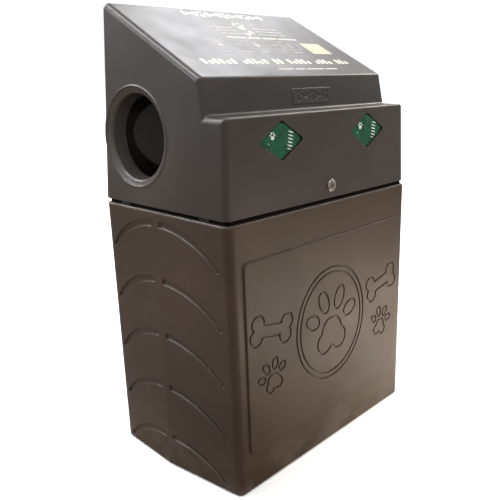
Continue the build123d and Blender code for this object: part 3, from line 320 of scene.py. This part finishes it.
def inflate(piece, pressure, frames, cap, pinned=None, shrink=0.0):
    """Cloth simulation with inner pressure and no gravity. No point moves further than cap."""
    start = [v.co.copy() for v in piece.data.vertices]
    cloth = piece.modifiers.new("puff", "CLOTH")
    settings = cloth.settings
    settings.use_pressure = True
    settings.uniform_pressure_force = pressure
    settings.effector_weights.gravity = 0
    settings.tension_stiffness = 22
    settings.compression_stiffness = 22
    settings.bending_stiffness = 0.08
    settings.mass = 0.12
    settings.quality = 6
    settings.shrink_min = shrink
    if pinned:
        group = piece.vertex_groups.new(name="pinned")
        group.add(pinned, 1.0, "REPLACE")
        settings.vertex_group_mass = group.name
    scene = bpy.context.scene
    cloth.point_cache.frame_end = frames
    for step in range(1, frames + 1):
        scene.frame_set(step)
    apply_modifiers(piece)
    for vertex, before in zip(piece.data.vertices, start):
        move = vertex.co - before
        if move.length > cap:
            vertex.co = before + move * (cap / move.length)
    piece.vertex_groups.clear()
    scene.frame_set(1)
    return piece


def subdivide(piece):
    piece.modifiers.new("soft", "SUBSURF").levels = 1
    piece.modifiers["soft"].render_levels = 1
    return apply_modifiers(piece)


def surface_tree(piece):
    return BVHTree.FromPolygons(
        [v.co.copy() for v in piece.data.vertices],
        [tuple(p.vertices) for p in piece.data.polygons],
    )


# =====================================================================
# flat shapes for print, as loops of (u, v) in millimetres
# =====================================================================
def bar(u, v, width, height, corner=None):
    """Rounded rectangle. Its corner radius follows its thinner side unless one is given."""
    r = min(width, height) * 0.28 if corner is None else corner
    half_u = width / 2 - r
    half_v = height / 2 - r
    loop = []
    for cu, cv, start in CORNERS:
        for step in range(5):
            a = math.radians(start + 22.5 * step)
            loop.append((u + cu * half_u + r * math.cos(a), v + cv * half_v + r * math.sin(a)))
    return loop


def oval(u, v, half_u, half_v, turn=0.0, count=24):
    """Ellipse turned by an angle in radians."""
    c, s = math.cos(turn), math.sin(turn)
    loop = []
    for step in range(count):
        a = 2 * math.pi * step / count
        x, y = half_u * math.cos(a), half_v * math.sin(a)
        loop.append((u + x * c - y * s, v + x * s + y * c))
    return loop


def frame_loops(u, v, width, height, line):
    """Four bars round a rectangle."""
    return [
        bar(u, v + (height - line) / 2, width, line),
        bar(u, v - (height - line) / 2, width, line),
        bar(u - (width - line) / 2, v, line, height),
        bar(u + (width - line) / 2, v, line, height),
    ]


def paw(u, v, size):
    """Generic paw print made of ovals."""
    loops = [oval(u, v - 0.22 * size, 0.34 * size, 0.26 * size)]
    for angle, reach in ((62, 0.44), (22, 0.52), (-22, 0.52), (-62, 0.44)):
        a = math.radians(angle)
        centre = (u - reach * size * math.sin(a), v - 0.08 * size + reach * size * math.cos(a))
        loops.append(oval(*centre, 0.105 * size, 0.155 * size, a))
    return loops


def bone(u, v, length, turn=0.0):
    """Generic bone: a bar and four knobs."""
    c, s = math.cos(turn), math.sin(turn)
    knob = 0.15 * length
    loops = [oval(u, v, 0.44 * length, 0.11 * length, turn)]
    for x in (-0.40 * length, 0.40 * length):
        for y in (-0.12 * length, 0.12 * length):
            loops.append(oval(u + x * c - y * s, v + x * s + y * c, knob, knob))
    return loops


def small_bag(u, v, size):
    """Tied bag: a round body, a neck and two ears."""
    return [
        oval(u, v - 0.12 * size, 0.34 * size, 0.36 * size),
        bar(u, v + 0.28 * size, 0.16 * size, 0.16 * size),
        oval(u - 0.16 * size, v + 0.42 * size, 0.17 * size, 0.08 * size, -0.6),
        oval(u + 0.16 * size, v + 0.42 * size, 0.17 * size, 0.08 * size, 0.6),
    ]


def small_bin(u, v, size):
    """Bin outline: a lid line over a tapered body with slats."""
    loops = [bar(u, v + 0.36 * size, 0.80 * size, 0.10 * size)]
    for k in (-1, 0, 1):
        loops.append(bar(u + k * 0.24 * size, v - 0.12 * size, 0.12 * size, 0.74 * size))
    return loops


def arrow(u, v, size):
    """Arrow that points right: a shaft and a head."""
    return [
        bar(u, v, 0.8 * size, 0.12 * size),
        [(u + 0.20 * size, v + 0.26 * size), (u + 0.52 * size, v), (u + 0.20 * size, v - 0.26 * size)],
    ]


def words(u, v, widths, height, gap):
    """Row of plain bars, centred on u."""
    total = sum(widths) + gap * (len(widths) - 1)
    x = u - total / 2
    loops = []
    for width in widths:
        loops.append(bar(x + width / 2, v, width, height))
        x += width + gap
    return loops


def block_groups(u, v, counts, width, height, gap):
    """Row of small upright blocks in groups, centred on u."""
    step = width + gap
    total = step * (sum(counts) + len(counts) - 1) - gap
    x = u - total / 2
    loops = []
    for group, count in enumerate(counts):
        for k in range(count):
            short = (group + k) % 3 == 1
            tall = height * (0.62 if short else 1.0)
            loops.append(bar(x + width / 2, v - (height - tall) / 2, width, tall))
            x += step
        x += step
    return loops


def plates(name, loops, to_frame, normal_at, material, body):
    """Thin raised plates, one for each loop, laid on a surface of the object."""
    bm = bmesh.new()
    for loop in loops:
        low = [bm.verts.new(to_frame(u, v) + normal_at(u, v) * INK_LIFT) for u, v in loop]
        high = [bm.verts.new(to_frame(u, v) + normal_at(u, v) * (INK_LIFT + INK_T)) for u, v in loop]
        bm.faces.new(high)
        bm.faces.new(list(reversed(low)))
        for k in range(len(loop)):
            n = (k + 1) % len(loop)
            bm.faces.new((low[k], low[n], high[n], high[k]))
    bmesh.ops.recalc_face_normals(bm, faces=bm.faces)
    mesh = bpy.data.meshes.new(name)
    bm.to_mesh(mesh)
    bm.free()
    piece = make_object(name, mesh, material)
    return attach(piece, body)


# =====================================================================
# print on the hood's sloping face
# =====================================================================
def slope_plane():
    """Largest face of the hood that faces up and forwards."""
    faces = [p for p in nodes["hood_shell"].data.polygons if p.normal.z > 0.8 and p.normal.y < -0.3]
    best = max(faces, key=lambda p: p.area)
    return best.center.copy(), best.normal.copy()


slope_point, slope_normal = slope_plane()
slope_up = Vector((0, slope_normal.z, -slope_normal.y))


def on_slope(u, v):
    """Point on the slope u to the right of the middle and v in plan towards the back."""
    y = v * MM
    run = (y - slope_point.y) / slope_up.y
    return Vector((u * MM, slope_point.y, slope_point.z)) + slope_up * run


def slope_print(name, loops, material):
    return plates(name, loops, on_slope, lambda u, v: slope_normal, material, "hood")


def title_loops():
    """Bold row of bones and paws where a title would stand."""
    loops = []
    for k in range(4):
        loops += bone(-88 + 72 * k, 147, 40)
        if k < 3:
            loops += paw(-52 + 72 * k, 146, 27)
    return loops


def pictogram_loops():
    """Row of plain pictograms, each in a thin box."""
    loops = []
    drawings = (paw, arrow, small_bag, arrow, small_bin)
    for k, drawing in enumerate(drawings):
        u = -128 + 58 * k
        loops += drawing(u, 8, 24)
        loops += frame_loops(u, 8, 50, 40, 1.6)
    return loops


def text_block_loops():
    """Blocks of thin lines in place of small print."""
    loops = []
    for v, left, right in ((86, (-52, 72), (96, 84)), (72, (-46, 60), (98, 90)), (58, (-40, 66), (96, 94))):
        for centre, width in (left, right):
            loops += words(centre, v, (width * 0.3, width * 0.42, width * 0.22), 2.6, 3)
    return loops


slope_print("print_title", title_loops(), bold_material)
slope_print("print_icon", paw(22, 96, 34) + bone(22, 62, 34, 0.5), ink_material)
slope_print("print_small_lines", text_block_loops(), ink_material)
slope_print("print_mid_line", words(44, 39, (60, 44, 52, 66), 6, 5), ink_material)
slope_print("print_pictograms", pictogram_loops(), faint_material)
slope_print("print_captions", words(-12, -24, (34, 40, 30, 44, 36), 3.0, 19), faint_material)
slope_print("print_bold_line", block_groups(-4, -66, BOLD_WORDS, 10.5, 20, 5.6), bold_material)
slope_print("print_foot_line", words(52, -98, (50, 34, 62, 44), 4, 6), ink_material)
slope_print("label_cream", [bar(190, -4, 74, 50, 3)], label_material)


# =====================================================================
# bag packs in the windows
# =====================================================================
def cad_copy(name, node, material):
    mesh = nodes[node].data.copy()
    mesh.materials.clear()
    return make_object(name, mesh, material)


def bag_pack(side, label):
    """Stack of folded bags: remeshed from its solid, puffed up by simulation, then creased."""
    node = "bag_pack_" + label
    low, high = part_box(node)
    piece = cad_copy("bag_stack_" + label, node, FINISHES["bag_film"])
    remesh = piece.modifiers.new("voxels", "REMESH")
    remesh.mode = "VOXEL"
    remesh.voxel_size = 3.6 * MM
    apply_modifiers(piece)
    inflate(piece, 4.0, 14, 1.6 * MM)
    subdivide(piece)
    middle = (low + high) / 2
    for v in piece.data.vertices:
        if v.co.y < middle.y - 1 * MM:
            along = (v.co.x - middle.x) * side + (v.co.z - middle.z) * 0.8
            fold = math.sin(along * 190 + 2.5 * noise.noise(v.co * 30)) * 0.35
            ripple = noise.noise(v.co * 55) * 0.9
            v.co.y += (fold + ripple) * 0.8 * MM
        v.co.y = max(v.co.y, low.y - 1.2 * MM)
    smooth(piece)
    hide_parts(node)
    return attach(piece, "hood")


def bag_print(piece, side, label):
    """Short pale dashes, a thin upright line and a small paw printed on the top bag."""
    tree = surface_tree(piece)
    low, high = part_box("bag_pack_" + label)
    u0 = (low.x + high.x) / 2
    v0 = 0.760

    def on_bag(u, v):
        start = Vector((u0 + u * MM, -0.25, v0 + v * MM))
        hit = tree.ray_cast(start, Vector((0, 1, 0)))[0]
        return hit if hit else Vector((start.x, low.y, start.z))

    loops = []
    for row in range(6):
        loops.append(oval(29 - 0.8 * row, 16 - 7 * row, 8.5, 1.2, -0.28))
    loops.append(bar(-38, -12, 1.3, 20))
    loops += paw(-27, 11, 15)
    out = Vector((0, -1, 0)) * BAG_INK_TIMES
    name = "bag_print_" + label
    return plates(name, loops, on_bag, lambda u, v: out, bag_ink_material, "hood")


for side, label in ((-1, "left"), (1, "right")):
    bag_print(bag_pack(side, label), side, label)


# =====================================================================
# liner bag
# =====================================================================
def rounded_ring(half_x, half_y, r, z, per_corner, per_side):
    """Points round a rounded rectangle, the same number on every ring."""
    points = []
    for cx, cy, start in CORNERS:
        for step in range(per_corner):
            a = math.radians(start + 90 * step / (per_corner - 1))
            x = cx * (half_x - r) + r * math.cos(a)
            y = cy * (half_y - r) + r * math.sin(a)
            points.append(Vector((x, y, z)))
    ring = []
    for k, point in enumerate(points):
        ring.append(point)
        if (k + 1) % per_corner == 0:
            after = points[(k + 1) % len(points)]
            count = per_side[(k // per_corner) % 2]
            ring += [point.lerp(after, (n + 1) / (count + 1)) for n in range(count)]
    return ring


def liner_rings(low, high):
    """Rings from the middle of the floor, up the walls and over the hoop."""
    half_x = high.x
    half_y = high.y
    taper = LINER_TAPER * MM
    low_r = LINER_LOW_R * MM
    rings = []
    for share in (0.06, 0.2, 0.36, 0.52, 0.68, 0.82, 0.92):
        rings.append((share * (half_x - taper), share * (half_y - taper), low_r * share, low.z))
    rings.append(((half_x - taper) * 0.975, (half_y - taper) * 0.96, low_r, low.z + 3 * MM))
    rows = 40
    for k in range(1, rows + 1):
        t = k / rows
        inset = (1 - t) * taper
        r = (LINER_LOW_R - LINER_R_FALL * t) * MM
        rings.append((half_x - inset, half_y - inset, r, low.z + t * (high.z - low.z)))
    hoop_low, hoop_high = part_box("liner_hoop")
    wire = (hoop_high.z - hoop_low.z) / 2
    middle = (hoop_low.z + hoop_high.z) / 2
    reach = wire + 0.5 * MM
    for angle in (20, 60, 100, 140, 175):
        a = math.radians(angle)
        grow = hoop_high.x - wire - reach * math.cos(a) - half_x
        rings.append((half_x + grow, half_y + grow, LINER_CUFF_R * MM, middle + reach * math.sin(a)))
    return rings


def liner():
    """Thin sheet up the walls and over the hoop: pulled in a little, simulated, then finely creased."""
    low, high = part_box("liner_bag")
    rings = [rounded_ring(*ring, 5, (42, 24)) for ring in liner_rings(low, high)]
    count = len(rings[0])
    faces = [tuple(reversed(range(count)))]
    for k in range(len(rings) - 1):
        for n in range(count):
            m = (n + 1) % count
            faces.append((k * count + n, k * count + m, (k + 1) * count + m, (k + 1) * count + n))
    mesh = bpy.data.meshes.new("liner_sheet")
    mesh.from_pydata([tuple(p) for ring in rings for p in ring], [], faces)
    mesh.update()
    piece = make_object("liner_sheet", mesh, FINISHES["liner_film"])
    pinned = list(range((len(rings) - 7) * count, len(rings) * count))
    for v in piece.data.vertices:
        depth = min(1.0, max(0.0, (high.z - 20 * MM - v.co.z) / (60 * MM)))
        inward = Vector((-v.co.x, -v.co.y, 0)).normalized()
        wide = noise.noise(Vector((v.co.x * 7, v.co.y * 7, v.co.z * 3)))
        v.co += inward * (4 + 5 * wide) * depth * MM
    inflate(piece, 1.2, 16, 7 * MM, pinned, shrink=-0.06)
    for v in piece.data.vertices:
        v.co.z = max(v.co.z, low.z - 2 * MM)
    subdivide(piece)
    for v in piece.data.vertices:
        depth = min(1.0, max(0.0, (high.z - 8 * MM - v.co.z) / (40 * MM)))
        inward = Vector((-v.co.x, -v.co.y, 0)).normalized()
        fine = noise.noise(Vector((v.co.x * 38, v.co.y * 38, v.co.z * 16)))
        v.co += inward * (0.6 + 2.2 * fine) * depth * MM
    smooth(piece)
    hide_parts("liner_bag")
    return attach(piece, "bin")


liner()


# =====================================================================
# floor, light and camera
# =====================================================================
def build_floor():
    """Wide flat floor with a few rings of faces."""
    bm = bmesh.new()
    rings = []
    for reach in (0.8, 2.0, 6.0, 20.0, 60.0):
        corners = ((-reach, -reach), (reach, -reach), (reach, reach), (-reach, reach))
        rings.append([bm.verts.new((x, y, 0.0)) for x, y in corners])
    bm.faces.new(rings[0])
    for low, high in zip(rings, rings[1:]):
        for k in range(4):
            n = (k + 1) % 4
            bm.faces.new((low[k], high[k], high[n], low[n]))
    bmesh.ops.recalc_face_normals(bm, faces=bm.faces)
    mesh = bpy.data.meshes.new("floor")
    bm.to_mesh(mesh)
    bm.free()
    make_object("floor", mesh, floor_material())


def hang_light(data, place, target, power, colour, glossy):
    """Points a light at its target. It is hidden from the camera, and from reflections if not glossy."""
    data.energy = power
    data.color = colour
    light = bpy.data.objects.new(data.name, data)
    bpy.context.scene.collection.objects.link(light)
    light.location = place
    direction = Vector(target) - Vector(place)
    light.rotation_euler = direction.to_track_quat("-Z", "Y").to_euler()
    light.visible_camera = False
    light.visible_glossy = glossy


def add_light(name, place, target, size, power, colour, glossy=True):
    """Soft rectangular light."""
    data = bpy.data.lights.new(name, "AREA")
    data.shape = "RECTANGLE"
    data.size, data.size_y = size
    hang_light(data, place, target, power, colour, glossy)


def add_spot(name, place, target, cone, power, colour):
    """Narrow soft-edged spot that shows no reflection of itself."""
    data = bpy.data.lights.new(name, "SPOT")
    data.spot_size = math.radians(cone)
    data.spot_blend = 1.0
    data.shadow_soft_size = 0.12
    hang_light(data, place, target, power, colour, glossy=False)


def build_camera():
    yaw = math.radians(CAMERA_YAW)
    pitch = math.radians(CAMERA_PITCH)
    data = bpy.data.cameras.new("camera")
    data.lens = CAMERA_LENS
    data.sensor_width = CAMERA_SENSOR
    data.shift_x, data.shift_y = CAMERA_SHIFT
    data.clip_end = 60
    camera = bpy.data.objects.new("camera", data)
    bpy.context.scene.collection.objects.link(camera)
    camera.location = CAMERA_PLACE
    level = math.cos(pitch)
    forward = Vector((math.sin(yaw) * level, math.cos(yaw) * level, -math.sin(pitch)))
    camera.rotation_euler = forward.to_track_quat("-Z", "Y").to_euler()
    bpy.context.scene.camera = camera


def build_world():
    """Even pale surroundings, shown white to the camera and dimmer to the bin."""
    world = bpy.data.worlds.new("studio")
    world.use_nodes = True
    tree = world.node_tree
    background = tree.nodes["Background"]
    background.inputs["Color"].default_value = WORLD_COLOUR
    path = tree.nodes.new("ShaderNodeLightPath")
    level = tree.nodes.new("ShaderNodeMapRange")
    level.inputs["To Min"].default_value = WORLD_ON_OBJECTS
    level.inputs["To Max"].default_value = WORLD_TO_CAMERA
    tree.links.new(path.outputs["Is Camera Ray"], level.inputs["Value"])
    tree.links.new(level.outputs["Result"], background.inputs["Strength"])
    bpy.context.scene.world = world


build_floor()
build_world()
# name, place, target, size, power, colour
add_light("slope_sheen", (1.72, 1.23, 3.05), (-0.2, -0.05, 0.92), (1.3, 1.5), 42, (0.96, 0.97, 1.0))
add_light("front_edges", (2.5, -0.2, 2.6), (0, -0.19, 0.75), (0.9, 0.9), 44, (1.0, 0.94, 0.89))
add_light("slope_edge", (-1.3, 1.2, 3.4), (-0.3, 0, 0.95), (1.0, 1.0), 58, (0.95, 0.97, 1.0))
add_light("chute_glint", (-0.8, 2.6, 2.5), (-0.32, 0.05, 0.68), (1.2, 0.9), 54, (1.0, 0.95, 0.92))
add_light("soft_top", (-0.5, -1.2, 3.8), (0, 0, 0.5), (2.4, 2.4), 46, (1.0, 0.97, 0.93))
add_light("left_sky", (-2.8, 2.4, 2.2), (0, 0, 0.9), (1.6, 1.0), 36, (0.84, 0.90, 1.0))
add_light("front_fill", (-1.2, -3.0, 1.4), (0, 0, 0.5), (1.6, 1.6), 26, (1.0, 0.96, 0.92), glossy=False)
add_light("right_low", (1.0, -0.9, 0.12), (0.25, -0.2, 0.15), (0.7, 0.3), 8, (1.0, 0.93, 0.84), glossy=False)
add_light("floor_patch", (0.6, -0.8, 0.6), (0.6, -0.8, 0.0), (0.8, 0.6), 9, (1.0, 0.94, 0.86), glossy=False)
add_spot("throat_spot", (-2.0, -0.9, 0.95), (-0.31, 0.10, 0.755), 6.6, 420, (0.74, 0.86, 1.0))
build_camera()
bpy.context.scene.view_settings.view_transform = "Standard"
bpy.context.view_layer.update()
